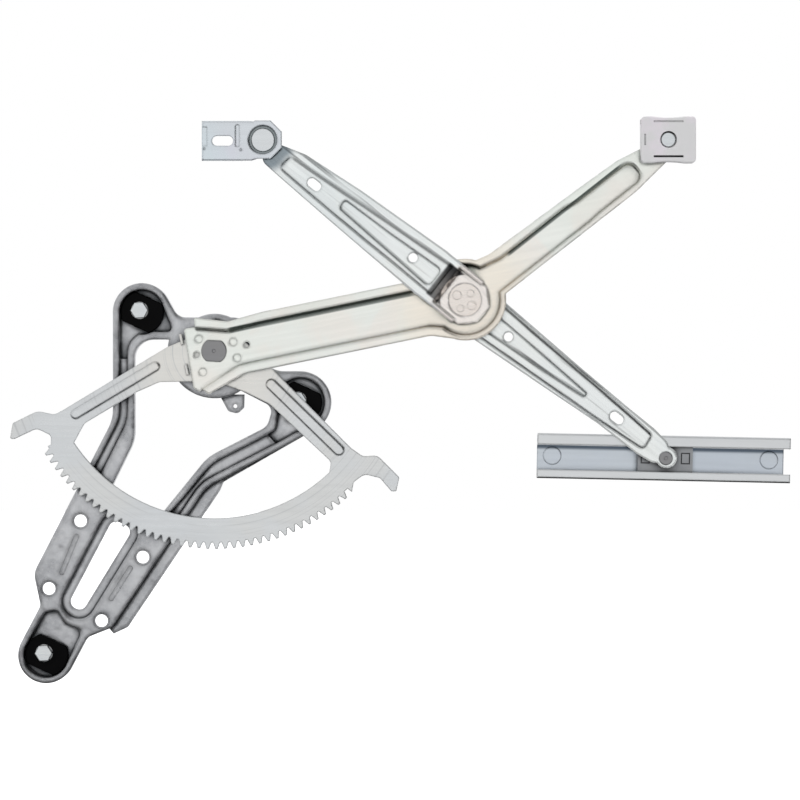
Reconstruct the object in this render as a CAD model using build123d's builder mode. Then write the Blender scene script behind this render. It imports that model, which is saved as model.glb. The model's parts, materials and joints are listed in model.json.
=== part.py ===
from build123d import *
from math import atan2, cos, degrees, hypot, pi, radians, sin, tan
import os

# Scissor-arm window regulator for a front door, supplied without its drive unit.
#
# Frame, in millimetres: X to the right and Z up along the door, Y into the door
# panel, so -Y points out of the mechanism's front.  The origin is where the upper
# mounting stud crosses the face of the door panel.
#
# Plan positions are (right, up) pairs measured from the sector pivot, and every
# depth is a height above the door panel, along -Y.

# ---------------------------------------------------------------- linkage
half_arm = 165.3             # pivot to pivot, the same for all four half arms
lift_rise = 11.5             # inner half of the lift arm above the horizontal, degrees
cross_slope = 38.2           # slope of the crossed outer halves, degrees
rail_tilt = -1.2             # the guide rail's slope as it lies, degrees

# ---------------------------------------------------------------- base plate
stud_upper = (-48.8, 26.5)   # three mounting studs, from the sector pivot
stud_right = (53.8, -31.8)
stud_foot = (-110.7, -195.6)
ear_shift = (1.6, -1.2)      # each ear and its bush lie beside the stud's axis
ear_upper_radius = 18.8
ear_right_radius = 20.1
ear_foot_radius = 18.2
pivot_boss_radius = 24.3
window_hub_radius = 30.5     # metal left round the pivot inside the big window
base_sheet = 1.2
base_crest = 12.0            # front of the rims above the door panel
base_back = 2.4              # rear edge of the skirts
ear_floor = 4.0              # front of the sunken floors under the bushes
leg_floor = 8.2              # front of the valleys in the legs
slot_floor = 7.2             # front of the sunken border round the slot
rim_fillet = 1.5
rim_width = 4.2
slot_border = 5.8
drive_hole_radius = 4.1
drive_collar_radius = 5.5
drive_collar_depth = 0.4
bead_width = 3.4
bead_depth = 0.6
flange_front = 4.6           # low flange outside the right leg
lug_hole_radius = 1.3

# ---------------------------------------------------------------- mountings
bush_radius = 14.0
bush_flats = 20.8            # across the two flats
bush_flat_angle = -25.0      # direction of the flats, degrees
bush_front = 8.0
bush_neck_radius = 10.6
bush_back_radius = 12.6
sleeve_radius = 5.6
bolt_radius = 3.0
bolt_reach = 16.0            # stud length behind the door panel face
bolt_head_across = 10.0
bolt_head_height = 4.0
bolt_shoulder = 0.5          # the shank is thicker where it sits in its sleeve
bolt_edge = 0.6
bolt_turn = 3.0
bush_edge = 0.8

# ---------------------------------------------------------------- sector
module = 1.8
full_circle_teeth = 140
tooth_count = 40
tooth_middle = 261.7         # direction of the middle of the toothed arc, degrees
pressure_angle = 20.0
ring_inner_radius = 108.0
sector_sheet = 2.5
sector_hub_radius = 18.5
rib_height = 2.2
rib_wall = 1.6
left_rib_width = 6.2
right_rib_width = 7.0
tooth_tip_round = 0.3
rib_round = 1.2
crimp_height = 2.3
crimp_width = 1.8
crimp_length = 7.0
crimp_turn = 11.5
crimps = [(-21.0, 7.5), (-17.6, -12.0)]

# ---------------------------------------------------------------- lift arm
arm_sheet = 1.8
arm_rise = 5.8               # lips in front of the web
arm_half_width = 18.4
arm_pocket_half = 12.0
hub_bulge_radius = 26.3
hub_pocket_radius = 22.6
outer_pocket_end = 139.0     # from the hub, where the pocket runs out
outer_end_radius = 12.0
arm_fillet = 2.0
dimple_radius = 2.7
dimple_depth = 0.5
dimples = [(-9.8, 7.7), (12.4, 5.8), (15.0, -4.5), (-7.2, -13.6)]
gauge_hole_radius = 1.9
gauge_holes = [(-11.1, -2.6), (21.1, 4.0)]
slider_shank_radius = 4.0

# ---------------------------------------------------------------- sector pivot
pivot_washer_sheet = 0.5
pivot_flange_sheet = 0.8
side_play = 0.1              # axial play of every turning joint
running_fit = 0.05           # radial play of every turning joint
pivot_journal_radius = 6.0
pivot_bush_radius = 8.5
pivot_flange_radius = 12.0
pivot_neck_radius = 7.0
pivot_neck_flats = 11.4
pivot_head_radius = 8.1
pivot_head_flats = 13.6
pivot_head_height = 1.3
pivot_tail_radius = 4.5
pivot_collar_radius = 10.5
pivot_collar_sheet = 2.0
pivot_bush_tail = 4.0
pivot_tail_head = 1.0
pivot_head_edge = 0.5
pivot_flats_turn = -3.0      # direction of the clinched head's flats, degrees
pivot_mark_radius = 1.1      # centre mark of the clinching punch
pivot_mark_depth = 0.4

# ---------------------------------------------------------------- equaliser
equaliser_sheet = 1.6
crossing_gap = 0.3           # between arms that pass over each other
web_rise = 2.6               # raised web of the upper half
lower_web_rise = 2.2         # raised web of the lower half
channel_depth = 2.0
hub_disc_across = 30.6
hub_drum_radius = 14.0
hub_boss_radius = 10.4
hub_ring_wall = 1.55
ring_overhang = 0.5
hub_disc_margin = 1.2
hub_clearance = 0.5
centre_rivet_radius = 1.8
centre_rivet_head = 0.6
centre_rivet_places = [
    ((-5.2, 3.0), 2.9),
    ((3.5, 4.1), 2.4),
    ((4.2, -3.7), 2.9),
    ((-3.0, -5.5), 2.4),
]
joggle_start = 15.0
joggle_end = 17.8
joggle_sheet = 1.75
upper_tip_radius = 10.5
lower_tip_radius = 6.9
web_wall = 1.8
web_round = 1.4
channel_wall = 1.4
channel_round = 0.8
fork_reach = 28.0
fork_middle = 15.4
fork_overrun = 2.6
fork_wall = 3.0
arm_hole_radius = 2.95
arm_slot_length = 9.6
arm_slot_width = 5.8

# ---------------------------------------------------------------- glass side
bracket_sheet = 2.0
bracket_washer_sheet = 0.5
bracket_cup_radius = 9.2
bracket_cup_wall = 1.6
bracket_across = 24.4
bracket_front = 31.5
bracket_tab_left = 39.1
bracket_tab_top = 12.0
bracket_tab_bottom = 13.4
bracket_slot_length = 13.4
bracket_slot_width = 6.3
bracket_slot_left = 25.7
bracket_bar_left = 16.2      # pressed bar beside the cup
bracket_bar_up = 2.4
bracket_bar_length = 14.2
bracket_bar_width = 2.6
bracket_step_width = 3.4     # pressed step at the outer edge
bracket_step_length = 12.2
bracket_step_up = 2.0
bracket_press_depth = 0.5
bracket_punches = [(-37.4, -6.0), (-13.9, -6.6)]
bracket_punch_radius = 0.8
bracket_lip_height = 2.5
bracket_lip_start = 13.0     # where the lips begin, left of the rivet
bracket_lip_round = 1.0
bracket_cup_round = 0.6
bracket_rivet_head_height = 1.8
bracket_rivet_round = 0.7
bracket_rivet_radius = 4.0
bracket_rivet_head = 7.6
slider_length = 35.2
slider_height = 29.6
slider_depth = 9.0
slider_flange = 2.4
slider_groove = 3.4          # how deep the glass rail's lips reach in
slider_recess_radius = 5.4
slider_pin_radius = 3.5
slider_pin_head = 4.6
slider_tail_radius = 6.0
slider_tail_height = 1.8
slider_pin_head_height = 1.4
slider_recess_depth = 2.8
slider_corner = 2.5
slider_edge = 0.8
slider_dish = 0.8
slider_dish_radius = 70.0
slider_slit_offset = 10.8     # spring slit behind the lower gliding face
slider_slit_length = 19.0
slider_slit_width = 1.3
slider_slit_depth = 7.5
slider_line_offset = 11.6     # shallow line along the upper gliding face
slider_line_width = 1.0
slider_line_depth = 0.4
slider_bar_offset = 15.0      # short upright line beside the left edge
slider_bar_length = 7.0

# ---------------------------------------------------------------- guide rail
rail_length = 163.6
rail_height = 29.2
rail_depth = 11.5
rail_sheet = 1.5
rail_upper_lip = 7.2
rail_lower_lip = 5.6
rail_web_short = 3.2         # the lips overrun the web at the right end
rail_shift = -1.0            # rail centre from the shoe pin, as it lies
rail_stud_spacing = 141.0
rail_stud_head_radius = 5.9
rail_stud_head_height = 1.1
rail_stud_reach = 14.0
rail_stud_shift = 1.4
rail_bend = 1.2
shoe_length = 35.4
shoe_play = 0.1
shoe_pin_radius = 3.5
shoe_pin_head = 4.3
shoe_pin_head_height = 1.5
shoe_boss_radius = 6.5
shoe_window_length = 6.0
shoe_window_height = 7.5
shoe_window_offset = 13.0
shoe_window_depth = 0.8
shoe_foot_radius = 5.5
shoe_foot_height = 1.5

# ---------------------------------------------------------------- worked-out places
pivot_x = -stud_upper[0]
pivot_z = -stud_upper[1]
sector_back = base_crest + pivot_flange_sheet + pivot_washer_sheet + side_play
web_back = sector_back + sector_sheet
web_front = web_back + arm_sheet
lip_front = web_front + arm_rise
lip_back = lip_front - arm_sheet
upper_back = lip_front + crossing_gap
upper_front = upper_back + equaliser_sheet
upper_web = upper_front + web_rise
lower_web = web_back - crossing_gap
lower_front = lower_web - lower_web_rise
lower_back = lower_front - equaliser_sheet
hub_shoulder = web_front + crossing_gap
disc_front = hub_shoulder + equaliser_sheet
root_radius = module * (full_circle_teeth / 2 - 1.25)
tip_radius = module * (full_circle_teeth / 2 + 1)

hub = (half_arm * cos(radians(lift_rise)), half_arm * sin(radians(lift_rise)))
reach_x = half_arm * cos(radians(cross_slope))
reach_z = half_arm * sin(radians(cross_slope))
bracket_at = (hub[0] - reach_x, hub[1] + reach_z)
slider_at = (hub[0] + reach_x, hub[1] + reach_z)
shoe_at = (hub[0] + reach_x, hub[1] - reach_z)

ear_upper = (stud_upper[0] + ear_shift[0], stud_upper[1] + ear_shift[1])
ear_right = (stud_right[0] + ear_shift[0], stud_right[1] + ear_shift[1])
ear_foot = (stud_foot[0] + ear_shift[0], stud_foot[1] + ear_shift[1])


def front(height, at=(0, 0), turn=0):
    """Sketch plane facing the front, at a height above the door panel."""
    return Plane(
        origin=(pivot_x + at[0], -height, pivot_z + at[1]),
        x_dir=(cos(radians(turn)), 0, sin(radians(turn))),
        z_dir=(0, -1, 0),
    )


def around(centre, radius, angle):
    """The point of a circle at an angle in degrees."""
    return (centre[0] + radius * cos(radians(angle)), centre[1] + radius * sin(radians(angle)))


def outline(*corners):
    """Closed face through corners given as (right, up, corner radius)."""
    with BuildSketch() as face:
        with BuildLine():
            points = [(corner[0], corner[1]) for corner in corners]
            FilletPolyline(*points, radius=[corner[2] for corner in corners], close=True)
        make_face()
    return face.sketch


def grown(face, amount):
    """A face moved out all round, or in when the amount is negative."""
    with BuildSketch() as moved:
        add(face)
        offset(amount=amount)
    return moved.sketch


def slab(face, back, front_height, mode=Mode.ADD, at=(0, 0), turn=0):
    """Extrude a plan face between two heights above the door panel."""
    with BuildSketch(front(back, at, turn)) as placed:
        add(face)
    extrude(placed.sketch, amount=front_height - back, mode=mode)


def edges_at(part, height):
    """The edges that lie in the plane at a height above the door panel."""
    return part.edges().filter_by_position(Axis.Y, -height - 0.01, -height + 0.01)


def edges_along(part, face, height, at=(0, 0), turn=0):
    """The edges at a height that follow the outline of a plan face."""
    border = (front(height, at, turn) * face).face().outer_wire()
    return [edge for edge in edges_at(part, height) if border.distance_to(edge @ 0.5) < 0.01]


def section(at, turn):
    """Sketch plane along an arm: its own right runs along, its own up is the height."""
    return Plane(
        origin=(pivot_x + at[0], 0, pivot_z + at[1]),
        x_dir=(cos(radians(turn)), 0, sin(radians(turn))),
        z_dir=(sin(radians(turn)), 0, -cos(radians(turn))),
    )


def double_d(radius, across):
    """Round face with two flats, the flats along its own right."""
    with BuildSketch() as face:
        Circle(radius)
        Rectangle(2 * radius, across, mode=Mode.INTERSECT)
    return face.sketch


parts = {}


def finish(builder, name):
    """Label a finished piece and keep it for export."""
    builder.part.label = name
    parts[name] = builder.part


# ================================================================ base plate
upper_flank = 29.2           # where the upper ear's right flank leaves its circle
right_flank = -61.0
foot_right_flank = -25.3
foot_left_flank = 152.0
plate_top = 21.9             # top edge beside the pivot
left_edge = ear_upper[0] - ear_upper_radius + 0.1

with BuildSketch() as base_face:
    add(outline(
        (*around(ear_upper, ear_upper_radius, upper_flank), 0),
        (-23.8, plate_top, 9),
        (20.0, plate_top, 12),
        (34.0, ear_right[1] + ear_right_radius, 16),
        (*around(ear_right, ear_right_radius, 90), 0),
        (*around(ear_right, ear_right_radius, right_flank), 0),
        (-6.0, -88.5, 26),
        (-66.5, -179.0, 6),
        (-82.5, -185.3, 8),
        (*around(ear_foot, ear_foot_radius, foot_right_flank), 0),
        (*around(ear_foot, ear_foot_radius, foot_left_flank), 0),
        (-112.7, -164.6, 6),
        (-117.2, -143.5, 12),
        (left_edge, -44.0, 26),
        (left_edge, ear_upper[1], 0),
    ))
    with Locations(ear_upper):
        Circle(ear_upper_radius)
    with Locations(ear_right):
        Circle(ear_right_radius)
    with Locations(ear_foot):
        Circle(ear_foot_radius)
    Circle(pivot_boss_radius)

with BuildSketch() as window_face:
    add(outline(
        (-51.8, 7.6, 12),
        (-24.0, 7.6, 0),
        (10.0, -22.0, 0),
        (37.6, -36.2, 6),
        (34.0, -48.7, 9),
        (-4.5, -68.4, 30),
        (-36.3, -107.6, 6),
        (-69.7, -94.0, 6),
        (-51.8, -57.5, 26),
    ))
    Circle(window_hub_radius, mode=Mode.SUBTRACT)

slot_face = outline(
    (-66.3, -109.0, 5),
    (-53.0, -115.0, 5),
    (-86.3, -169.2, 5),
    (-95.2, -164.0, 5),
)

with BuildSketch() as upper_well:
    add(outline(
        (left_edge + rim_width, ear_upper[1], 0),
        (left_edge + rim_width, -5.0, 1.2),
        (-56.4, -5.0, 1.2),
        (-56.4, 12.6, 14),
        (-27.5, 12.6, 2.5),
        (-28.5, plate_top - rim_width, 2.5),
        (*around(ear_upper, ear_upper_radius - rim_width, 35), 0),
    ))
    with Locations(ear_upper):
        Circle(ear_upper_radius - rim_width)

left_valley = outline(
    (left_edge + rim_width, -3.0, 0),
    (left_edge + rim_width, -43.4, 22),
    (-84.4, -87.2, 1.2),
    (-79.0, -90.0, 1.2),
    (-56.4, -45.0, 28),
    (-56.4, -3.0, 0),
)

with BuildSketch() as right_well:
    add(outline(
        (41.5, -36.0, 0),
        (39.0, -51.3, 5),
        (34.0, -54.0, 1),
        (39.5, -60.0, 1),
        (*around(ear_right, ear_right_radius - rim_width, -70), 0),
    ))
    with Locations(ear_right):
        Circle(ear_right_radius - rim_width)

right_valley = outline(
    (38.5, -52.0, 0),
    (-1.6, -72.4, 26),
    (-30.4, -106.8, 1.2),
    (-25.2, -109.6, 1.2),
    (-8.6, -84.9, 30),
    (42.0, -58.6, 0),
)

with BuildSketch() as foot_well:
    add(outline(
        (*around(ear_foot, ear_foot_radius - rim_width + 0.6, 150), 0),
        (-110.3, -169.4, 4),
        (-101.8, -167.4, 4),
        (-97.0, -176.8, 5),
        (-85.6, -180.6, 4),
        (*around(ear_foot, ear_foot_radius - rim_width + 0.6, -22), 0),
    ))
    with Locations(ear_foot):
        Circle(ear_foot_radius - rim_width + 0.6)

slot_well = grown(slot_face, slot_border)
wells = [
    (upper_well.sketch, ear_floor),
    (left_valley, leg_floor),
    (right_well.sketch, ear_floor),
    (right_valley, leg_floor),
    (foot_well.sketch, ear_floor),
    (slot_well, slot_floor),
]
with BuildSketch() as cavity_face:
    add(grown(base_face.sketch, -base_sheet))
    add(grown(window_face.sketch, base_sheet), mode=Mode.SUBTRACT)

# low flange outside the right leg and finger
with BuildSketch() as flange_face:
    add(outline(
        (*around(ear_right, ear_right_radius, -60), 0),
        (5.4, -84.8, 2),
        (3.2, -90.2, 2),
        (-56.7, -179.1, 2.5),
        (-66.0, -183.4, 0),
        (-72.0, -176.0, 0),
        (-10.0, -82.0, 0),
        (30.0, -48.0, 0),
        (60.0, -40.0, 0),
    ))
    add(grown(base_face.sketch, -base_sheet / 2), mode=Mode.SUBTRACT)


def trimmed(face):
    """The part of a face that lies on the plate and outside its window."""
    with BuildSketch() as kept:
        add(face)
        add(window_face.sketch, mode=Mode.SUBTRACT)
        add(base_face.sketch, mode=Mode.INTERSECT)
    return kept.sketch


drive_holes = [(-86.7, -109.8), (-107.1, -153.6), (-46.4, -133.3), (-73.1, -174.4)]
beads = [((-89.2, -119.8), (-98.7, -143.2)), ((-54.5, -140.6), (-66.8, -160.0))]

with BuildPart() as base_plate:
    slab(base_face.sketch, base_back, base_crest)
    slab(window_face.sketch, base_back, base_crest, Mode.SUBTRACT)
    # hollow behind the crest, then the walls and floors of the sunken fields
    slab(cavity_face.sketch, base_back, base_crest - base_sheet, Mode.SUBTRACT)
    for well, floor in wells:
        slab(trimmed(grown(well, base_sheet)), floor - base_sheet, base_crest - base_sheet / 2)
    for well, floor in wells:
        slab(well, floor, base_crest, Mode.SUBTRACT)
    fillet(edges_at(base_plate, base_crest), rim_fillet)
    slab(flange_face.sketch, flange_front - base_sheet, flange_front)
    slab(slot_face, 0, base_crest, Mode.SUBTRACT)
    # beads and mounting holes of the two fingers
    for start, end in beads:
        middle = ((start[0] + end[0]) / 2, (start[1] + end[1]) / 2)
        run = hypot(end[0] - start[0], end[1] - start[1])
        lean = degrees(atan2(end[1] - start[1], end[0] - start[0]))
        with BuildSketch(front(base_crest - bead_depth, middle, lean)):
            SlotCenterToCenter(run, bead_width)
        extrude(amount=bead_depth, mode=Mode.SUBTRACT)
    for place in drive_holes:
        with BuildSketch(front(base_crest - drive_collar_depth, place)):
            Circle(drive_collar_radius)
        extrude(amount=drive_collar_depth, mode=Mode.SUBTRACT)
        with BuildSketch(front(0, place)):
            Circle(drive_hole_radius)
        extrude(amount=base_crest, mode=Mode.SUBTRACT)
    for ear in (ear_upper, ear_right, ear_foot):
        with BuildSketch(front(0, ear)):
            Circle(bush_neck_radius + side_play)
        extrude(amount=base_crest, mode=Mode.SUBTRACT)
    # bore for the pivot bush, and the small lug below the boss
    with BuildSketch(front(0)):
        Circle(pivot_bush_radius)
    extrude(amount=base_crest, mode=Mode.SUBTRACT)
    slab(outline(
        (2.5, -28.0, 0),
        (19.0, -28.0, 0),
        (18.8, -36.5, 2),
        (14.5, -40.5, 3.5),
        (8.5, -39.0, 3),
    ), base_back, base_back + base_sheet)
    with BuildSketch(front(base_back, (13.0, -35.6))):
        Circle(lug_hole_radius)
    extrude(amount=base_sheet, mode=Mode.SUBTRACT)
finish(base_plate, "base_plate")


# ================================================================ mountings
for place, ear, stud in (
    ("upper", ear_upper, stud_upper),
    ("right", ear_right, stud_right),
    ("foot", ear_foot, stud_foot),
):
    with BuildPart() as mount_bush:
        with BuildSketch(front(0, ear)):
            Circle(bush_back_radius)
        extrude(amount=ear_floor - base_sheet)
        with BuildSketch(front(0, ear)):
            Circle(bush_neck_radius)
        extrude(amount=ear_floor)
        slab(double_d(bush_radius, bush_flats), ear_floor, bush_front, Mode.ADD, ear, bush_flat_angle)
        fillet(edges_at(mount_bush.part, bush_front), bush_edge)
        with BuildSketch(front(0, stud)):
            Circle(sleeve_radius)
        extrude(amount=bush_front, mode=Mode.SUBTRACT)
    finish(mount_bush, f"mount_bush_{place}")

    with BuildPart() as bush_sleeve:
        with BuildSketch(front(0, stud)):
            Circle(sleeve_radius)
            Circle(bolt_radius + bolt_shoulder, mode=Mode.SUBTRACT)
        extrude(amount=bush_front)
    finish(bush_sleeve, f"bush_sleeve_{place}")

    with BuildPart() as mounting_bolt:
        with BuildSketch(front(bush_front, stud, bolt_turn)):
            RegularPolygon(bolt_head_across / 2, 6, major_radius=False)
        extrude(amount=bolt_head_height)
        fillet(edges_at(mounting_bolt.part, bush_front + bolt_head_height), bolt_edge)
        with BuildSketch(front(0, stud)):
            Circle(bolt_radius + bolt_shoulder)
        extrude(amount=bush_front)
        with BuildSketch(front(-bolt_reach, stud)):
            Circle(bolt_radius)
        extrude(amount=bolt_reach)
        chamfer(edges_at(mounting_bolt.part, -bolt_reach), bolt_edge)
    finish(mounting_bolt, f"mounting_bolt_{place}")


# ================================================================ sector pivot
bush_back = base_crest - base_sheet - pivot_bush_tail
journal_back = bush_back - side_play
collar_back = journal_back - pivot_collar_sheet

with BuildPart() as pivot_bush:
    with BuildSketch(front(bush_back)):
        Circle(pivot_bush_radius)
    extrude(amount=base_crest - bush_back)
    with BuildSketch(front(base_crest)):
        Circle(pivot_flange_radius)
    extrude(amount=pivot_flange_sheet)
    with BuildSketch(front(bush_back)):
        Circle(pivot_bush_radius + base_sheet)
    extrude(amount=pivot_bush_tail)
    with BuildSketch(front(bush_back)):
        Circle(pivot_journal_radius + running_fit)
    extrude(amount=sector_back - bush_back, mode=Mode.SUBTRACT)
finish(pivot_bush, "pivot_bush")

with BuildPart() as pivot_washer:
    with BuildSketch(front(base_crest + pivot_flange_sheet)):
        Circle(pivot_flange_radius)
        Circle(pivot_journal_radius + running_fit, mode=Mode.SUBTRACT)
    extrude(amount=pivot_washer_sheet)
finish(pivot_washer, "pivot_washer")

with BuildPart() as pivot_shaft:
    with BuildSketch(front(journal_back)):
        Circle(pivot_journal_radius)
    extrude(amount=sector_back - journal_back)
    slab(double_d(pivot_neck_radius, pivot_neck_flats), sector_back, web_front, Mode.ADD,
         (0, 0), pivot_flats_turn)
    head_front = web_front + pivot_head_height
    slab(double_d(pivot_head_radius, pivot_head_flats), web_front, head_front, Mode.ADD,
         (0, 0), pivot_flats_turn)
    fillet(edges_at(pivot_shaft.part, head_front), pivot_head_edge)
    with BuildSketch(front(head_front - pivot_mark_depth)):
        Circle(pivot_mark_radius)
    extrude(amount=pivot_mark_depth, mode=Mode.SUBTRACT)
    with BuildSketch(front(collar_back)):
        Circle(pivot_tail_radius)
    extrude(amount=pivot_collar_sheet)
    with BuildSketch(front(collar_back - pivot_tail_head)):
        Circle(pivot_journal_radius)
    extrude(amount=pivot_tail_head)
finish(pivot_shaft, "pivot_shaft")

with BuildPart() as pivot_retainer:
    with BuildSketch(front(collar_back)):
        Circle(pivot_collar_radius)
        Circle(pivot_tail_radius, mode=Mode.SUBTRACT)
    extrude(amount=pivot_collar_sheet)
finish(pivot_retainer, "pivot_retainer")


# ================================================================ sector gear
tooth_pitch = 360 / full_circle_teeth
half_tooth = module * pi / 4
lean_out = tan(radians(pressure_angle))
tip_half = half_tooth - module * lean_out
root_half = half_tooth + 1.25 * module * lean_out
ring_start = tooth_middle - tooth_pitch * (tooth_count / 2 + 0.2)
ring_end = tooth_middle + tooth_pitch * (tooth_count / 2 + 0.9)

with BuildSketch() as ring_face:
    Circle(root_radius)
    Circle(ring_inner_radius, mode=Mode.SUBTRACT)
    add(outline(
        (0, 0, 0),
        (*around((0, 0), 2 * root_radius, ring_start), 0),
        (*around((0, 0), 2 * root_radius, tooth_middle), 0),
        (*around((0, 0), 2 * root_radius, ring_end), 0),
    ), mode=Mode.INTERSECT)

with BuildSketch() as tooth_face:
    with BuildLine():
        Polyline(
            (root_radius - 0.5, -root_half),
            (root_radius, -root_half),
            (tip_radius, -tip_half),
            (tip_radius, tip_half),
            (root_radius, root_half),
            (root_radius - 0.5, root_half),
            close=True,
        )
    make_face()
    fillet(tooth_face.vertices().group_by(Axis.X)[-1], tooth_tip_round)

left_spoke = outline(
    (-8.0, 12.0, 0),
    (-30.7, 2.4, 12),
    (-97.1, -37.8, 5),
    (-103.0, -41.0, 6),
    (-114.1, -38.7, 8),
    (-130.1, -46.5, 1.5),
    (-131.8, -56.6, 1),
    (-129.0, -56.8, 1.5),
    (-114.6, -50.0, 6),
    (-105.4, -54.5, 3),
    (-105.4, -63.5, 0),
    (-91.0, -60.0, 0),
    (-83.8, -46.8, 5),
    (-49.9, -26.4, 10),
    (-35.3, -20.0, 6),
    (-8.0, -19.6, 0),
)

right_spoke = outline(
    (0, 10.0, 0),
    (18.0, 8.0, 0),
    (88.4, -62.6, 5),
    (96.0, -68.0, 6),
    (105.5, -67.4, 6),
    (119.6, -81.5, 1.5),
    (117.6, -90.6, 1),
    (114.4, -90.6, 1.5),
    (107.1, -82.0, 4),
    (97.0, -79.5, 6),
    (90.0, -84.8, 3),
    (89.0, -91.0, 0),
    (74.0, -80.0, 0),
    (75.5, -71.5, 4),
    (35.8, -34.2, 10),
    (19.9, -26.4, 10),
    (0, -19.0, 0),
)

left_rib = ((-92.0, -42.3), (-35.5, -8.4))
right_rib = ((34.5, -19.1), (83.0, -66.3))

with BuildPart() as sector_gear:
    with BuildSketch(front(sector_back)):
        add(ring_face.sketch)
        add(left_spoke)
        add(right_spoke)
        Circle(sector_hub_radius)
        with PolarLocations(0, tooth_count, tooth_middle - tooth_pitch * (tooth_count - 1) / 2,
                            tooth_pitch * (tooth_count - 1), endpoint=True):
            add(tooth_face.sketch)
    extrude(amount=sector_sheet)
    # pressed ribs along both spokes, open at the back
    for (start, end), width in ((left_rib, left_rib_width), (right_rib, right_rib_width)):
        middle = ((start[0] + end[0]) / 2, (start[1] + end[1]) / 2)
        run = hypot(end[0] - start[0], end[1] - start[1])
        lean = degrees(atan2(end[1] - start[1], end[0] - start[0]))
        rib_front = sector_back + sector_sheet + rib_height
        with BuildSketch(front(sector_back, middle, lean)):
            SlotCenterToCenter(run - width, width)
        extrude(amount=sector_sheet + rib_height)
        fillet(edges_at(sector_gear.part, rib_front), rib_round)
        with BuildSketch(front(sector_back, middle, lean)):
            SlotCenterToCenter(run - width, width - 2 * rib_wall)
        extrude(amount=sector_sheet + rib_height - rib_wall, mode=Mode.SUBTRACT)
    # tabs crimped over the end of the lift arm
    for place in crimps:
        with BuildSketch(front(sector_back + sector_sheet, place, crimp_turn)):
            Rectangle(crimp_width, crimp_length)
        extrude(amount=crimp_height)
    slab(double_d(pivot_neck_radius, pivot_neck_flats), sector_back, web_front, Mode.SUBTRACT,
         (0, 0), pivot_flats_turn)
finish(sector_gear, "sector_gear")


# ================================================================ lift arm
def inner(along, across):
    """Plan place on the arm's inner half, along and across from the pivot."""
    return around(around((0, 0), along, lift_rise), across, lift_rise + 90)


def outer(along, across):
    """Plan place on the arm's outer half, along and across from the hub."""
    return around(around(hub, along, cross_slope), across, cross_slope + 90)


with BuildSketch() as arm_face:
    add(outline(
        (-12.6, 21.4, 1),
        (9.2, 19.0, 6),
        (*inner(36, arm_half_width), 20),
        (*inner(half_arm - 13.5, arm_half_width), 14),
        (*outer(30, 13.4), 20),
        (*outer(95, 11.4), 30),
        (*outer(132, 9.9), 30),
        (*outer(153, 5.6), 10),
        (*outer(170, 6.0), 6),
        (*outer(170, -8.0), 6),
        (*outer(157, -10.4), 10),
        (*outer(129, -13.5), 16),
        (*outer(14, -13.1), 8),
        (*inner(half_arm - 10, -24.0), 8),
        (*inner(half_arm - 26, -arm_half_width), 16),
        (*inner(36, -arm_half_width), 20),
        (20.0, -14.6, 20),
        (-3.2, -28.2, 2),
        (-7.6, -24.4, 1),
    ))
    with Locations(hub):
        Circle(hub_bulge_radius)
    with Locations(slider_at):
        Circle(outer_end_radius)

with BuildSketch() as arm_pocket:
    add(outline(
        (-26.0, 15.4, 0),
        (9.6, 12.8, 6),
        (*inner(34, arm_pocket_half), 20),
        (*inner(half_arm - 12, arm_pocket_half), 12),
        (*outer(34, 6.9), 14),
        (*outer(86, 6.9), 8),
        (*outer(96, 4.9), 8),
        (*outer(outer_pocket_end, 4.9), 6),
        (*outer(outer_pocket_end, -9.3), 6),
        (*outer(104, -9.3), 8),
        (*outer(94, -10.0), 8),
        (*outer(22, -9.8), 8),
        (*inner(half_arm - 12, -16.0), 4),
        (*inner(half_arm - 26, -arm_pocket_half), 12),
        (*inner(34, -arm_pocket_half), 20),
        (16.0, -9.2, 16),
        (-10.0, -26.5, 0),
        (-26.0, -36.0, 0),
    ))
    with Locations(hub):
        Circle(hub_pocket_radius)

with BuildSketch() as arm_walls:
    add(grown(arm_pocket.sketch, arm_sheet))
    add(arm_face.sketch, mode=Mode.INTERSECT)

with BuildPart() as lift_arm:
    slab(arm_walls.sketch, web_back, lip_front)
    slab(arm_face.sketch, lip_back, lip_front)
    slab(outline(
        (-19.6, 14.4, 2),
        (-6.0, 16.4, 0),
        (0, -20.0, 0),
        (-9.4, -26.2, 0),
        (-13.2, -24.0, 2),
    ), web_back, web_front)
    slab(arm_pocket.sketch, web_front, lip_front, Mode.SUBTRACT)
    fillet(edges_along(lift_arm.part, arm_pocket.sketch, lip_front), arm_fillet)
    fillet(edges_along(lift_arm.part, arm_pocket.sketch, web_front), arm_fillet)
    with BuildSketch(front(web_back, hub)):
        Circle(hub_drum_radius + running_fit + hub_ring_wall)
    extrude(amount=arm_sheet, mode=Mode.SUBTRACT)
    slab(double_d(pivot_neck_radius, pivot_neck_flats), web_back, web_front, Mode.SUBTRACT,
         (0, 0), pivot_flats_turn)
    with BuildSketch(front(lip_back, slider_at)):
        Circle(slider_shank_radius)
    extrude(amount=arm_sheet, mode=Mode.SUBTRACT)
    for place in dimples:
        with BuildSketch(front(web_front - dimple_depth, place)):
            Circle(dimple_radius)
        extrude(amount=dimple_depth, mode=Mode.SUBTRACT)
    for place in gauge_holes:
        with BuildSketch(front(web_back, place)):
            Circle(gauge_hole_radius)
        extrude(amount=arm_sheet, mode=Mode.SUBTRACT)
finish(lift_arm, "lift_arm")


# ================================================================ centre bearing
ring_back = web_back - ring_overhang
ring_front = hub_shoulder - side_play
drum_back = ring_back - side_play
hub_disc_back = drum_back - equaliser_sheet

with BuildPart() as centre_bearing_ring:
    with BuildSketch(front(ring_back, hub)):
        Circle(hub_drum_radius + running_fit + hub_ring_wall)
        Circle(hub_drum_radius + running_fit, mode=Mode.SUBTRACT)
    extrude(amount=ring_front - ring_back)
finish(centre_bearing_ring, "centre_bearing_ring")

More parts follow.
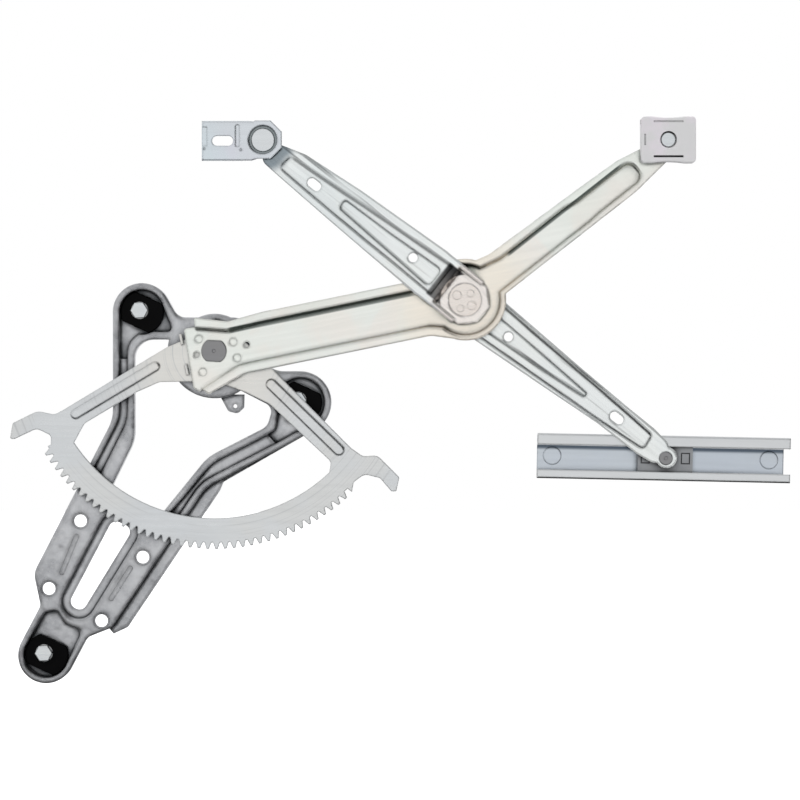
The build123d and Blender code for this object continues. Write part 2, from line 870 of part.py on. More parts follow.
with BuildPart() as centre_hub:
    with BuildSketch(front(drum_back, hub)):
        Circle(hub_drum_radius)
    extrude(amount=hub_shoulder - drum_back)
    with BuildSketch(front(hub_shoulder, hub)):
        Circle(hub_boss_radius)
    extrude(amount=equaliser_sheet)
    for place, radius in centre_rivet_places:
        with BuildSketch(front(drum_back, (hub[0] + place[0], hub[1] + place[1]))):
            Circle(centre_rivet_radius)
        extrude(amount=disc_front - drum_back, mode=Mode.SUBTRACT)
finish(centre_hub, "centre_hub")

with BuildPart() as centre_rivets:
    for place, radius in centre_rivet_places:
        rivet_at = (hub[0] + place[0], hub[1] + place[1])
        with BuildSketch(front(hub_disc_back - centre_rivet_head, rivet_at)):
            Circle(radius)
        extrude(amount=centre_rivet_head)
        with BuildSketch(front(hub_disc_back, rivet_at)):
            Circle(centre_rivet_radius)
        extrude(amount=disc_front - hub_disc_back)
        with BuildSketch(front(disc_front, rivet_at)):
            Circle(radius)
        extrude(amount=centre_rivet_head)
    fillet(edges_at(centre_rivets.part, disc_front + centre_rivet_head), centre_rivet_head / 2)
finish(centre_rivets, "centre_rivets")


# ================================================================ equaliser arms
# plan faces of both halves: right runs from the hub down to the guide rail
slope = -cross_slope

with BuildSketch() as upper_face:
    add(outline(
        (-fork_reach, 17.1, 0),
        (-95.0, 13.7, 60),
        (-138.0, 9.8, 10),
        (-154.0, 5.0, 6),
        (-160.0, 0, 0),
        (-160.0, -10.8, 6),
        (-146.0, -11.8, 10),
        (-99.0, -14.2, 60),
        (-fork_reach, -17.1, 0),
        (-16.0, -16.2, 0),
        (-16.0, 16.2, 0),
    ))
    with Locations((-half_arm, 0)):
        Circle(upper_tip_radius)

upper_web_face = outline(
    (-19.5, 11.6, 0),
    (-145.0, 3.2, 3),
    (-146.5, -7.6, 3),
    (-100.0, -9.4, 40),
    (-19.5, -11.2, 0),
)

upper_channel = outline(
    (-23.5, 5.6, 3),
    (-63.0, 3.4, 8),
    (-100.5, 2.6, 2),
    (-100.0, -4.0, 2),
    (-63.0, -5.8, 8),
    (-23.5, -8.0, 3),
)

octagon_end = hub_disc_across / 2 * tan(radians(22.5))
hub_disc_face = outline(
    (-joggle_start, hub_disc_across / 2, 0),
    (octagon_end, hub_disc_across / 2, 1),
    (hub_disc_across / 2, octagon_end, 1),
    (hub_disc_across / 2, -octagon_end, 1),
    (octagon_end, -hub_disc_across / 2, 1),
    (-joggle_start, -hub_disc_across / 2, 0),
)

with BuildPart() as equaliser_arm_upper:
    slab(upper_face.sketch, upper_back, upper_front, Mode.ADD, hub, slope)
    slab(upper_web_face, upper_back, upper_web, Mode.ADD, hub, slope)
    fillet(edges_along(equaliser_arm_upper.part, upper_web_face, upper_web, hub, slope), web_round)
    slab(grown(upper_web_face, -web_wall), upper_back, upper_web - equaliser_sheet,
         Mode.SUBTRACT, hub, slope)
    # the raised web stays open towards the hub
    with BuildSketch(front(upper_back, hub, slope)):
        with Locations((-19.0, 0)):
            Rectangle(8.0, 19.6)
    extrude(amount=upper_web - equaliser_sheet - upper_back, mode=Mode.SUBTRACT)
    slab(grown(upper_channel, channel_wall), upper_web - channel_depth - equaliser_sheet,
         upper_web - channel_wall, Mode.ADD, hub, slope)
    slab(upper_channel, upper_web - channel_depth, upper_web, Mode.SUBTRACT, hub, slope)
    fillet(edges_along(equaliser_arm_upper.part, upper_channel, upper_web, hub, slope), channel_round)
    slab(hub_disc_face, hub_shoulder, disc_front, Mode.ADD, hub, slope)
    # steep joggle from the hub disc up to the lips, and the folded fork sides
    with BuildSketch(section(hub, slope)) as joggle:
        with BuildLine():
            Polyline(
                (-joggle_start, hub_shoulder),
                (-hub_boss_radius, hub_shoulder),
                (-hub_boss_radius, disc_front),
                (-joggle_start + joggle_sheet, disc_front),
                (-joggle_end + joggle_sheet, upper_front),
                (-joggle_end - 3, upper_front),
                (-joggle_end - 3, upper_back),
                (-joggle_end, upper_back),
                close=True,
            )
        make_face()
    extrude(amount=hub_disc_across / 2 - 0.3, both=True)
    for side in (-1, 1):
        with BuildSketch(section(hub, slope).offset(-side * fork_middle)) as fork:
            with BuildLine():
                Polyline(
                    (fork_overrun, hub_shoulder),
                    (fork_overrun, disc_front + 0.8),
                    (-fork_reach + 12, upper_front),
                    (-fork_reach, upper_front),
                    (-fork_reach, upper_back),
                    (-joggle_start, upper_back),
                    (-joggle_start + 5, hub_shoulder),
                    close=True,
                )
            make_face()
        extrude(amount=fork_wall / 2, both=True)
    # clear of the lift arm's wall round the hub
    with BuildSketch(front(hub_shoulder, hub)):
        Circle(2 * hub_bulge_radius)
        Circle(hub_pocket_radius - hub_clearance, mode=Mode.SUBTRACT)
    extrude(amount=upper_back - hub_shoulder, mode=Mode.SUBTRACT)
    with BuildSketch(front(hub_shoulder, hub)):
        Circle(hub_boss_radius)
    extrude(amount=equaliser_sheet, mode=Mode.SUBTRACT)
    with BuildSketch(front(upper_back, hub, slope)):
        with Locations((-43.0, 0.3)):
            Circle(arm_hole_radius)
        with Locations((-121.8, -2.1)):
            SlotOverall(arm_slot_length, arm_slot_width)
    extrude(amount=upper_web - upper_back, mode=Mode.SUBTRACT)
    with BuildSketch(front(upper_back, bracket_at)):
        Circle(bracket_rivet_radius)
    extrude(amount=equaliser_sheet, mode=Mode.SUBTRACT)
finish(equaliser_arm_upper, "equaliser_arm_upper")

with BuildSketch() as lower_face:
    add(outline(
        (14.0, 15.4, 0),
        (86.0, 12.0, 60),
        (127.0, 10.7, 30),
        (148.0, 10.4, 14),
        (163.0, 8.4, 8),
        (half_arm, 0, 0),
        (163.6, -7.4, 8),
        (149.0, -9.3, 12),
        (116.0, -9.6, 20),
        (64.0, -13.4, 60),
        (14.0, -16.8, 0),
    ))
    with Locations((half_arm, 0.6)):
        Circle(lower_tip_radius)

lower_web_face = outline(
    (13.0, 13.0, 0),
    (60.0, 10.8, 40),
    (120.0, 8.2, 30),
    (149.0, 6.4, 3),
    (150.5, -4.6, 3),
    (118.0, -7.4, 20),
    (60.0, -10.8, 40),
    (13.0, -13.4, 0),
)

lower_channel = outline(
    (19.0, 5.2, 0),
    (99.5, 1.2, 1),
    (99.5, -1.4, 1),
    (19.0, -7.8, 0),
)

with BuildPart() as equaliser_arm_lower:
    slab(lower_face.sketch, lower_back, lower_front, Mode.ADD, hub, slope)
    slab(lower_web_face, lower_back, lower_web, Mode.ADD, hub, slope)
    fillet(edges_along(equaliser_arm_lower.part, lower_web_face, lower_web, hub, slope), web_round)
    slab(grown(lower_web_face, -web_wall), lower_back, lower_web - equaliser_sheet,
         Mode.SUBTRACT, hub, slope)
    slab(grown(lower_channel, channel_wall), lower_web - channel_depth - equaliser_sheet,
         lower_web - channel_wall, Mode.ADD, hub, slope)
    slab(lower_channel, lower_web - channel_depth, lower_web, Mode.SUBTRACT, hub, slope)
    fillet(edges_along(equaliser_arm_lower.part, lower_channel, lower_web, hub, slope), channel_round)
    with BuildSketch(front(drum_back, hub)):
        Circle(hub_drum_radius + hub_ring_wall + hub_disc_margin)
    extrude(amount=lower_web - drum_back, mode=Mode.SUBTRACT)
    with BuildSketch(front(hub_disc_back, hub)):
        Circle(hub_drum_radius + hub_ring_wall + hub_disc_margin)
    extrude(amount=equaliser_sheet)
    for place, radius in centre_rivet_places:
        with BuildSketch(front(hub_disc_back, (hub[0] + place[0], hub[1] + place[1]))):
            Circle(centre_rivet_radius)
        extrude(amount=equaliser_sheet, mode=Mode.SUBTRACT)
    with BuildSketch(front(lower_back, hub, slope)):
        with Locations((36.8, -1.3)):
            Circle(arm_hole_radius)
        with Locations((124.1, 0.7)):
            SlotOverall(arm_slot_length, arm_slot_width)
    extrude(amount=lower_web - lower_back, mode=Mode.SUBTRACT)
    with BuildSketch(front(lower_back, shoe_at)):
        Circle(shoe_pin_radius)
    extrude(amount=equaliser_sheet, mode=Mode.SUBTRACT)
finish(equaliser_arm_lower, "equaliser_arm_lower")


# ================================================================ glass slider
slider_back = lip_front + side_play
slider_front = slider_back + slider_depth
recess_floor = slider_front - slider_recess_depth

with BuildPart() as glass_slider:
    with BuildSketch(front(slider_back, slider_at)):
        RectangleRounded(slider_length, slider_height - 2 * slider_groove, 2)
    extrude(amount=slider_depth)
    for flange_back in (slider_back, slider_front - slider_flange):
        with BuildSketch(front(flange_back, slider_at)):
            RectangleRounded(slider_length, slider_height, slider_corner)
            for side in (-1, 1):
                with Locations((0, side * (slider_height / 2 + slider_dish_radius - slider_dish))):
                    Circle(slider_dish_radius, mode=Mode.SUBTRACT)
        extrude(amount=slider_flange)
    fillet(edges_at(glass_slider.part, slider_front), slider_edge)
    with BuildSketch(front(recess_floor, slider_at)):
        Circle(slider_recess_radius)
    extrude(amount=slider_recess_depth, mode=Mode.SUBTRACT)
    with BuildSketch(front(slider_back, slider_at)):
        Circle(slider_pin_radius + running_fit)
    extrude(amount=slider_depth, mode=Mode.SUBTRACT)
    # deep spring slit below, shallow moulded lines above and at the left
    with BuildSketch(front(slider_front - slider_slit_depth, slider_at)):
        with Locations((0, -slider_slit_offset)):
            Rectangle(slider_slit_length, slider_slit_width)
    extrude(amount=slider_slit_depth, mode=Mode.SUBTRACT)
    with BuildSketch(front(slider_front - slider_line_depth, slider_at)):
        with Locations((0, slider_line_offset)):
            Rectangle(slider_slit_length, slider_line_width)
        with Locations((-slider_bar_offset, 0)):
            Rectangle(slider_line_width, slider_bar_length)
    extrude(amount=slider_line_depth, mode=Mode.SUBTRACT)
finish(glass_slider, "glass_slider")

with BuildPart() as glass_slider_pin:
    with BuildSketch(front(lip_back - slider_tail_height, slider_at)):
        Circle(slider_tail_radius)
    extrude(amount=slider_tail_height)
    with BuildSketch(front(lip_back, slider_at)):
        Circle(slider_shank_radius)
    extrude(amount=arm_sheet)
    with BuildSketch(front(lip_front, slider_at)):
        Circle(slider_pin_radius)
    extrude(amount=recess_floor + side_play - lip_front)
    with BuildSketch(front(recess_floor + side_play, slider_at)):
        Circle(slider_pin_head)
    extrude(amount=slider_pin_head_height)
    fillet(edges_at(glass_slider_pin.part, recess_floor + side_play + slider_pin_head_height), 0.4)
finish(glass_slider_pin, "glass_slider_pin")


# ================================================================ glass bracket
cup_back = upper_front + bracket_washer_sheet + side_play
cup_front = cup_back + bracket_cup_wall
bracket_back = bracket_front - bracket_sheet

with BuildPart() as bracket_washer:
    with BuildSketch(front(upper_front, bracket_at)):
        Circle(bracket_cup_radius)
        Circle(bracket_rivet_radius, mode=Mode.SUBTRACT)
    extrude(amount=bracket_washer_sheet)
finish(bracket_washer, "bracket_washer")

with BuildPart() as glass_bracket:
    with BuildSketch(front(bracket_back, bracket_at)):
        RegularPolygon(bracket_across / 2, 8, major_radius=False, rotation=22.5)
        add(outline(
            (0, bracket_across / 2 - 1.0, 0),
            (-9.0, bracket_tab_top, 6),
            (-bracket_tab_left, bracket_tab_top, 1.5),
            (-bracket_tab_left, -bracket_tab_bottom, 1.5),
            (-7.0, -bracket_tab_bottom, 3),
            (0, -bracket_across / 2 + 1.0, 0),
        ))
    extrude(amount=bracket_sheet)
    # rearward lips along the upper and lower edges
    with BuildSketch(front(bracket_back - bracket_lip_height, bracket_at)):
        with Locations((-(bracket_tab_left + bracket_lip_start) / 2,
                        -bracket_tab_bottom + bracket_sheet / 2),
                       (-(bracket_tab_left + bracket_lip_start) / 2,
                        bracket_tab_top - bracket_sheet / 2)):
            Rectangle(bracket_tab_left - bracket_lip_start, bracket_sheet)
    extrude(amount=bracket_lip_height)
    fillet(edges_at(glass_bracket.part, bracket_front).filter_by(Axis.X).filter_by(
        lambda edge: edge.length > bracket_tab_left / 2), bracket_lip_round)
    # pressed bar, step and punch marks
    with BuildSketch(front(bracket_front - bracket_press_depth, bracket_at)):
        with Locations((-bracket_bar_left, bracket_bar_up)):
            RectangleRounded(bracket_bar_width, bracket_bar_length, 0.8)
        with Locations((-bracket_tab_left + bracket_step_width / 2, bracket_step_up)):
            Rectangle(bracket_step_width, bracket_step_length)
        with Locations(*bracket_punches):
            Circle(bracket_punch_radius)
    extrude(amount=bracket_press_depth, mode=Mode.SUBTRACT)
    with BuildSketch(front(cup_back, bracket_at)):
        Circle(bracket_cup_radius + bracket_cup_wall)
    extrude(amount=bracket_back - cup_back)
    with BuildSketch(front(cup_front, bracket_at)):
        Circle(bracket_cup_radius)
    extrude(amount=bracket_front - cup_front, mode=Mode.SUBTRACT)
    fillet(edges_at(glass_bracket.part, bracket_front).filter_by(GeomType.CIRCLE)
           .filter_by(lambda edge: edge.length > 5 * bracket_cup_radius), bracket_cup_round)
    with BuildSketch(front(cup_back, bracket_at)):
        Circle(bracket_rivet_radius + running_fit)
    extrude(amount=bracket_cup_wall, mode=Mode.SUBTRACT)
    with BuildSketch(front(bracket_back, bracket_at)):
        with Locations((-bracket_slot_left, -0.8)):
            SlotOverall(bracket_slot_length, bracket_slot_width)
    extrude(amount=bracket_sheet, mode=Mode.SUBTRACT)
finish(glass_bracket, "glass_bracket")

with BuildPart() as bracket_rivet:
    with BuildSketch(front(upper_back, bracket_at)):
        Circle(bracket_rivet_radius)
    extrude(amount=cup_front + side_play - upper_back)
    with BuildSketch(front(cup_front + side_play, bracket_at)):
        Circle(bracket_rivet_head)
    extrude(amount=bracket_rivet_head_height)
    fillet(edges_at(bracket_rivet.part, cup_front + side_play + bracket_rivet_head_height),
           bracket_rivet_round)
finish(bracket_rivet, "bracket_rivet")


# ================================================================ guide rail
shoe_half_height = rail_height / 2 - rail_sheet - shoe_play
shoe_back = rail_sheet + rail_stud_head_height + 3 * shoe_play
shoe_front = rail_depth - rail_sheet - shoe_play
boss_front = lower_back - side_play
rail_at = around(shoe_at, rail_shift, rail_tilt)

with BuildPart() as guide_rail:
    with BuildSketch(front(0, rail_at, rail_tilt)):
        Rectangle(rail_length, rail_height)
    extrude(amount=rail_depth)
    fillet(edges_at(guide_rail.part, rail_depth).filter_by(
        lambda edge: edge.length > rail_length - 1), rail_bend)
    fillet(edges_at(guide_rail.part, 0).filter_by(
        lambda edge: edge.length > rail_length - 1), rail_bend)
    with BuildSketch(front(rail_sheet, rail_at, rail_tilt)):
        Rectangle(rail_length, rail_height - 2 * rail_sheet)
    extrude(amount=rail_depth - 2 * rail_sheet, mode=Mode.SUBTRACT)
    mouth = rail_height - rail_upper_lip - rail_lower_lip
    with BuildSketch(front(rail_depth - rail_sheet, rail_at, rail_tilt)):
        with Locations((0, (rail_lower_lip - rail_upper_lip) / 2)):
            Rectangle(rail_length, mouth)
    extrude(amount=rail_sheet, mode=Mode.SUBTRACT)
    with BuildSketch(front(0, rail_at, rail_tilt)):
        with Locations(((rail_length - rail_web_short) / 2, 0)):
            Rectangle(rail_web_short, rail_height - 2 * rail_sheet)
        with Locations((-rail_stud_spacing / 2 - rail_stud_shift, 0),
                       (rail_stud_spacing / 2 - rail_stud_shift, 0)):
            Circle(bolt_radius + bolt_shoulder)
    extrude(amount=rail_sheet, mode=Mode.SUBTRACT)
finish(guide_rail, "guide_rail")

for place, side in (("left", -1), ("right", 1)):
    rail_stud_at = around(rail_at, side * rail_stud_spacing / 2 - rail_stud_shift, rail_tilt)
    with BuildPart() as rail_stud:
        with BuildSketch(front(rail_sheet, rail_stud_at)):
            Circle(rail_stud_head_radius)
        extrude(amount=rail_stud_head_height)
        fillet(edges_at(rail_stud.part, rail_sheet + rail_stud_head_height), 0.3)
        with BuildSketch(front(0, rail_stud_at)):
            Circle(bolt_radius + bolt_shoulder)
        extrude(amount=rail_sheet)
        with BuildSketch(front(-rail_stud_reach, rail_stud_at)):
            Circle(bolt_radius)
        extrude(amount=rail_stud_reach)
        chamfer(edges_at(rail_stud.part, -rail_stud_reach), bolt_edge)
    finish(rail_stud, f"rail_stud_{place}")

with BuildPart() as rail_shoe:
    with BuildSketch(front(shoe_back, shoe_at, rail_tilt)):
        Rectangle(shoe_length, 2 * shoe_half_height)
    extrude(amount=shoe_front - shoe_back)
    with BuildSketch(front(shoe_front, shoe_at)):
        Circle(shoe_boss_radius)
    extrude(amount=boss_front - shoe_front)
    with BuildSketch(front(shoe_front - shoe_window_depth, shoe_at, rail_tilt)):
        with Locations((-shoe_window_offset, 0), (shoe_window_offset, 0)):
            Rectangle(shoe_window_length, shoe_window_height)
            Rectangle(shoe_window_length - 1.6, shoe_window_height - 1.6, mode=Mode.SUBTRACT)
    extrude(amount=shoe_window_depth, mode=Mode.SUBTRACT)
    with BuildSketch(front(shoe_back, shoe_at)):
        Circle(shoe_foot_radius + 4 * shoe_play)
    extrude(amount=shoe_foot_height + shoe_play, mode=Mode.SUBTRACT)
    with BuildSketch(front(shoe_back, shoe_at)):
        Circle(shoe_pin_radius + running_fit)
    extrude(amount=boss_front - shoe_back, mode=Mode.SUBTRACT)
finish(rail_shoe, "rail_shoe")

with BuildPart() as shoe_pin:
    with BuildSketch(front(shoe_back, shoe_at)):
        Circle(shoe_foot_radius)
    extrude(amount=shoe_foot_height)
    with BuildSketch(front(shoe_back, shoe_at)):
        Circle(shoe_pin_radius)
    extrude(amount=lower_front - shoe_back)
    with BuildSketch(front(lower_front, shoe_at)):
        Circle(shoe_pin_head)
    extrude(amount=shoe_pin_head_height)
    fillet(edges_at(shoe_pin.part, lower_front + shoe_pin_head_height), 0.5)
    with BuildSketch(front(lower_front + shoe_pin_head_height - 0.5, shoe_at)):
        Circle(1.2)
    extrude(amount=0.5, mode=Mode.SUBTRACT)
finish(shoe_pin, "shoe_pin")

os.makedirs("parts", exist_ok=True)
for name, piece in parts.items():
    export_step(piece, f"parts/{name}.step")
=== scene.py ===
"""Finishes, stage, light and camera for the crossed-arm window regulator.

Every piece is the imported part's own solid, and this script gives each one its finish:
zinc plate on the moving sheet parts, mottled galvanising on the base plate, and rubber,
nylon and steel on the small parts. Lengths are in metres, turns in degrees above X as
seen from the front, and a pattern's scale is in cells per metre."""

import json
import math

import bpy
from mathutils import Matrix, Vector

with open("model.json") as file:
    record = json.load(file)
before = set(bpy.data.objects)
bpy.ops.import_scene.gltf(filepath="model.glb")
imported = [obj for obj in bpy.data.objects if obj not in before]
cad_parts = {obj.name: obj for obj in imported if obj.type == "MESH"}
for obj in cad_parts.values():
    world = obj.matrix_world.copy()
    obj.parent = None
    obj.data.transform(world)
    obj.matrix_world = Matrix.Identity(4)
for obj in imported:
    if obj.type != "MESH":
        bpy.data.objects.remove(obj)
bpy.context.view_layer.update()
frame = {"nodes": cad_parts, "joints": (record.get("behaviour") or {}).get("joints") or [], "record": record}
nodes = frame["nodes"]
scene = bpy.context.scene


# ------------------------------------------------------------------ places from the frame
def places(rows):
    """Each joint's or mount's place seen from the front, as (x, z), under its name. A
    slide has no place."""
    return {row["name"]: (row["pos_m"][0], row["pos_m"][2]) for row in rows if "pos_m" in row}


def rise(start, end):
    """How many degrees above X the line from one place to another rises."""
    return math.degrees(math.atan2(end[1] - start[1], end[0] - start[0]))


joints, mounts = places(frame["joints"]), places(frame["record"]["mounts"])
pivot, hub, shoe_pin = joints["lift"], joints["scissor"], joints["shoe_swivel"]
bracket_pin, slider_pin = joints["bracket_swivel"], joints["glass_slider_swivel"]
inner_turn, outer_turn = rise(pivot, hub), rise(hub, slider_pin)
cross_turn = rise(bracket_pin, hub)
rail_turn = rise(mounts["rail_stud_left_end"], mounts["rail_stud_right_end"])


# ------------------------------------------------------------------ shader sockets
class Sock:
    """A node's output with arithmetic, so that a material reads like a formula."""

    def __init__(self, net, socket):
        self.net, self.socket = net, socket

    def __add__(self, other):
        return self.net.math("ADD", self, other)

    def __radd__(self, other):
        return self.net.math("ADD", other, self)

    def __sub__(self, other):
        return self.net.math("SUBTRACT", self, other)

    def __rsub__(self, other):
        return self.net.math("SUBTRACT", other, self)

    def __mul__(self, other):
        return self.net.math("MULTIPLY", self, other)

    def __rmul__(self, other):
        return self.net.math("MULTIPLY", other, self)

    def __neg__(self):
        return -1 * self

    def __pow__(self, power):
        return self.net.math("POWER", self, power)

    def clamp(self):
        return self.net.math("ADD", self, 0.0, clamp=True)

    def maximum(self, other):
        return self.net.math("MAXIMUM", self, other)

    def ramp(self, low, high, to_low=0.0, to_high=1.0):
        """Smooth step from to_low to to_high as the value goes from low to high."""
        smooth = {"interpolation_type": "SMOOTHSTEP"}
        return self.net.read("Result", "ShaderNodeMapRange", settings=smooth, Value=self,
                             From_Min=low, From_Max=high, To_Min=to_low, To_Max=to_high)


class Net:
    """A material's or the world's node tree."""

    def __init__(self, tree):
        self.tree = tree
        tree.nodes.clear()

    def node(self, kind, *in_order, settings=None, **by_name):
        """A new node: its settings first, then the values or links of its sockets."""
        made = self.tree.nodes.new(kind)
        for name, value in (settings or {}).items():
            setattr(made, name, value)
        for socket, value in zip(made.inputs, in_order):
            self.put(socket, value)
        for name, value in by_name.items():
            self.put(made.inputs[name.replace("_", " ")], value)
        return made

    def read(self, output, kind, *in_order, settings=None, **by_name):
        """One output of a new node."""
        return Sock(self, self.node(kind, *in_order, settings=settings, **by_name).outputs[output])

    def put(self, socket, value):
        if isinstance(value, Sock):
            self.tree.links.new(value.socket, socket)
        elif socket.type == "RGBA":
            socket.default_value = (*value, 1.0)
        else:
            socket.default_value = value

    def math(self, operation, a, b, clamp=False):
        settings = {"operation": operation, "use_clamp": clamp}
        return self.read("Value", "ShaderNodeMath", a, b, settings=settings)

    def parts(self, vector):
        """A vector's X, Y and Z."""
        split = self.node("ShaderNodeSeparateXYZ", Vector=vector)
        return [Sock(self, split.outputs[axis]) for axis in "XYZ"]

    def rays(self):
        """1 for what is seen straight or through glass, then 1 for what metal mirrors."""
        paths = self.node("ShaderNodeLightPath")
        kinds = ("Camera", "Transmission", "Glossy")
        seen, through, mirrored = (Sock(self, paths.outputs[f"Is {kind} Ray"]) for kind in kinds)
        return (seen + through).clamp(), mirrored

    def coordinates(self, kind="Object"):
        return self.read(kind, "ShaderNodeTexCoord")

    def place(self, scale=(1, 1, 1), turn=0.0):
        """Object coordinates along a direction so many degrees above X, then scaled."""
        inverse = {"vector_type": "TEXTURE"}
        return self.read("Vector", "ShaderNodeMapping", settings=inverse, Vector=self.coordinates(),
                         Rotation=(0, -math.radians(turn), 0), Scale=tuple(1 / factor for factor in scale))

    def from_axis(self, middle, turn=0.0):
        """Distance from a front-to-back axis, then the way along and across a direction."""
        x, _, z = self.parts(self.coordinates())
        right, up = x - middle[0], z - middle[1]
        cosine, sine = math.cos(math.radians(turn)), math.sin(math.radians(turn))
        return (right * right + up * up) ** 0.5, right * cosine + up * sine, up * cosine - right * sine

    def noise(self, place, scale, detail, roughness=0.5, distortion=0.0):
        return self.read("Fac", "ShaderNodeTexNoise", Vector=place, Scale=scale, Detail=detail,
                         Roughness=roughness, Distortion=distortion)

    def crystals(self, place, scale):
        """Cells that each have one level of their own, from 0 to 1."""
        colour = self.read("Color", "ShaderNodeTexVoronoi", Vector=place, Scale=scale)
        return self.read("Val", "ShaderNodeRGBToBW", Color=colour)

    def shelter(self, distance):
        """1 on open faces, falling towards 0 deep in a corner."""
        return self.read("AO", "ShaderNodeAmbientOcclusion", settings={"samples": 8}, Distance=distance)

    def round_edges(self, radius):
        """A normal that runs softly over the edges."""
        return self.read("Normal", "ShaderNodeBevel", Radius=radius)

    def bump(self, height, distance, strength=1.0, below=None):
        """A normal tilted by a height, over the normal below where there is one."""
        under = {"Normal": below} if below else {}
        return self.read("Normal", "ShaderNodeBump", Height=height, Distance=distance,
                         Strength=strength, **under)

    def mix(self, factor, a, b):
        colours = {"data_type": "RGBA"}
        return self.read("Result", "ShaderNodeMix", settings=colours, Factor=factor, A=a, B=b)

    def principled(self, **inputs):
        surface = self.read("BSDF", "ShaderNodeBsdfPrincipled", **inputs)
        self.node("ShaderNodeOutputMaterial", Surface=surface)


def material(name):
    made = bpy.data.materials.new(name)
    made.use_nodes = True
    return made, Net(made.node_tree)


# ------------------------------------------------------------------ finishes
# the black of painted shade, in the plastic's slits and along the rail's lower edge
shade_black = (0.010, 0.010, 0.012)


def zinc(name, base, cloud_tint, broad_tint, turn=0.0, rough=0.28, tint=0.5, painted_shade=0.5,
         edge=0.0005, reach=0.007, wave=0.0004, stains_and_shadows=(), rings=None, detail=None):
    """Zinc-plated sheet: soft rolling streaks, faint passivation tints, painted shade in the bends.

    turn is the streaks' direction, rough the mean roughness, tint how strong the tints are and the
    argument after it how strong the painted shade in the bends is. edge is the radius at which
    edges look rounded, reach how far that painted shade spreads and wave how deep the sheet's
    rolling is. The list of patches holds (middle, inner, outer, colour) for each patch round a
    joint, mostly a stained patch but in the bracket's cup a painted shadow. rings is the middle
    of faint turned lines, and detail takes the net and a colour and adds to it."""
    streak_scale, roll_scale, ring_scale = (14, 60, 420), (8, 30, 90), 420
    patch_wander, patch_strength, ring_strength, streak_strength = 0.02, 0.75, 0.9, 0.12
    cloud_gloss, streak_gloss = 0.12, 0.10
    darker = tuple(channel * 0.78 for channel in base)
    # painted shade: the colour goes to a green black in the bends and corners
    bend_shade = tuple(channel * level for channel, level in zip(base, (0.16, 0.19, 0.18)))

    made, net = material(name)
    clouds = net.noise(net.place(), scale=26, detail=3, roughness=0.55, distortion=0.6)
    broad = net.noise(net.place(turn=20), scale=11, detail=2)
    fine = net.noise(net.place(), scale=900, detail=3, roughness=0.6)
    streaks = net.noise(net.place(streak_scale, turn), scale=1, detail=4, roughness=0.6)
    rolled = net.noise(net.place(roll_scale, turn), scale=1, detail=2)

    colour = net.mix(clouds.ramp(0.42, 0.62, 0.0, tint), base, cloud_tint)
    colour = net.mix(broad.ramp(0.48, 0.66, 0.0, tint), colour, broad_tint)
    # each patch is a stained patch, except the bracket's cup, where it is a painted shadow
    for middle, inner, outer, patch_colour in stains_and_shadows:
        distance = net.from_axis(middle)[0] + (clouds - 0.5) * patch_wander
        colour = net.mix(distance.ramp(inner, outer, patch_strength, 0.0), colour, patch_colour)
    if rings:
        lines = net.read("Vector", "ShaderNodeCombineXYZ", X=net.from_axis(rings)[0] * ring_scale)
        scratch = net.noise(lines, scale=1, detail=3, roughness=0.7)
        scratched = scratch.ramp(0.50, 0.66, 0.0, ring_strength) * clouds.ramp(0.35, 0.55)
        colour = net.mix(scratched, colour, darker)
    colour = net.mix(streaks.ramp(0.35, 0.75, 0.0, streak_strength), colour, darker)
    # painted shade: darker where the faces are sheltered, in bends, creases and corners
    colour = net.mix(net.shelter(reach).ramp(0.30, 0.75, painted_shade, 0.0), colour, bend_shade)
    if detail:
        colour = detail(net, colour)

    # clouds and streaks average a half, so the roughness averages rough
    level = rough - (cloud_gloss + streak_gloss) / 2
    roughness = clouds * cloud_gloss + streaks * streak_gloss + level
    normal = net.bump(rolled, distance=wave, below=net.round_edges(edge))
    normal = net.bump(fine, distance=0.00004, strength=0.35, below=normal)
    normal = net.bump(streaks, distance=0.00006, strength=0.4, below=normal)
    net.principled(Base_Color=colour, Metallic=1.0, Roughness=roughness, Normal=normal)
    return made


def pocket_walls(net, colour):
    """Unlit walls of the lift arm's pocket, below the upper lip of each half."""
    wall_green, soft, soft_start, soft_end = (0.06, 0.085, 0.075), 0.0005, 0.002, 0.004
    # each half's joint and turn, where its wall starts and ends, and its lower and upper line
    inner_half = (pivot, inner_turn, 0.012, 0.134, 0.0092, 0.0124)
    outer_half = (hub, outer_turn, 0.040, 0.132, 0.0046, 0.0066)
    for joint, turn, start, end, low, high in (inner_half, outer_half):
        _, along, above = net.from_axis(joint, turn)
        wall = above.ramp(low - soft, low + soft) * above.ramp(high, high + soft, 1.0, 0.0)
        wall = wall * along.ramp(start - soft_start, start + soft_start)
        wall = wall * along.ramp(end - soft_end, end + soft_end, 1.0, 0.0)
        colour = net.mix(wall * above.ramp(low, high, 0.70, 0.92), colour, wall_green)
    return colour


def joggle_gap(net, colour):
    """The unlit joggle of the crossing arm's fork, from the hub's disc up the arm."""
    disc, far, half_width, black = 0.0160, 0.0225, 0.0125, (0.012, 0.012, 0.014)
    distance, up_arm, aside = net.from_axis(hub, cross_turn + 180)
    off_middle = aside.maximum(-aside)
    gap = distance.ramp(disc - 0.0004, disc + 0.0006) * up_arm.ramp(-0.001, 0.003)
    gap = gap * up_arm.ramp(far - 0.001, far + 0.001, 1.0, 0.0)
    gap = gap * off_middle.ramp(half_width - 0.0008, half_width + 0.0008, 1.0, 0.0)
    return net.mix(gap * aside.ramp(-0.012, 0.006, 0.97, 0.80), colour, black)


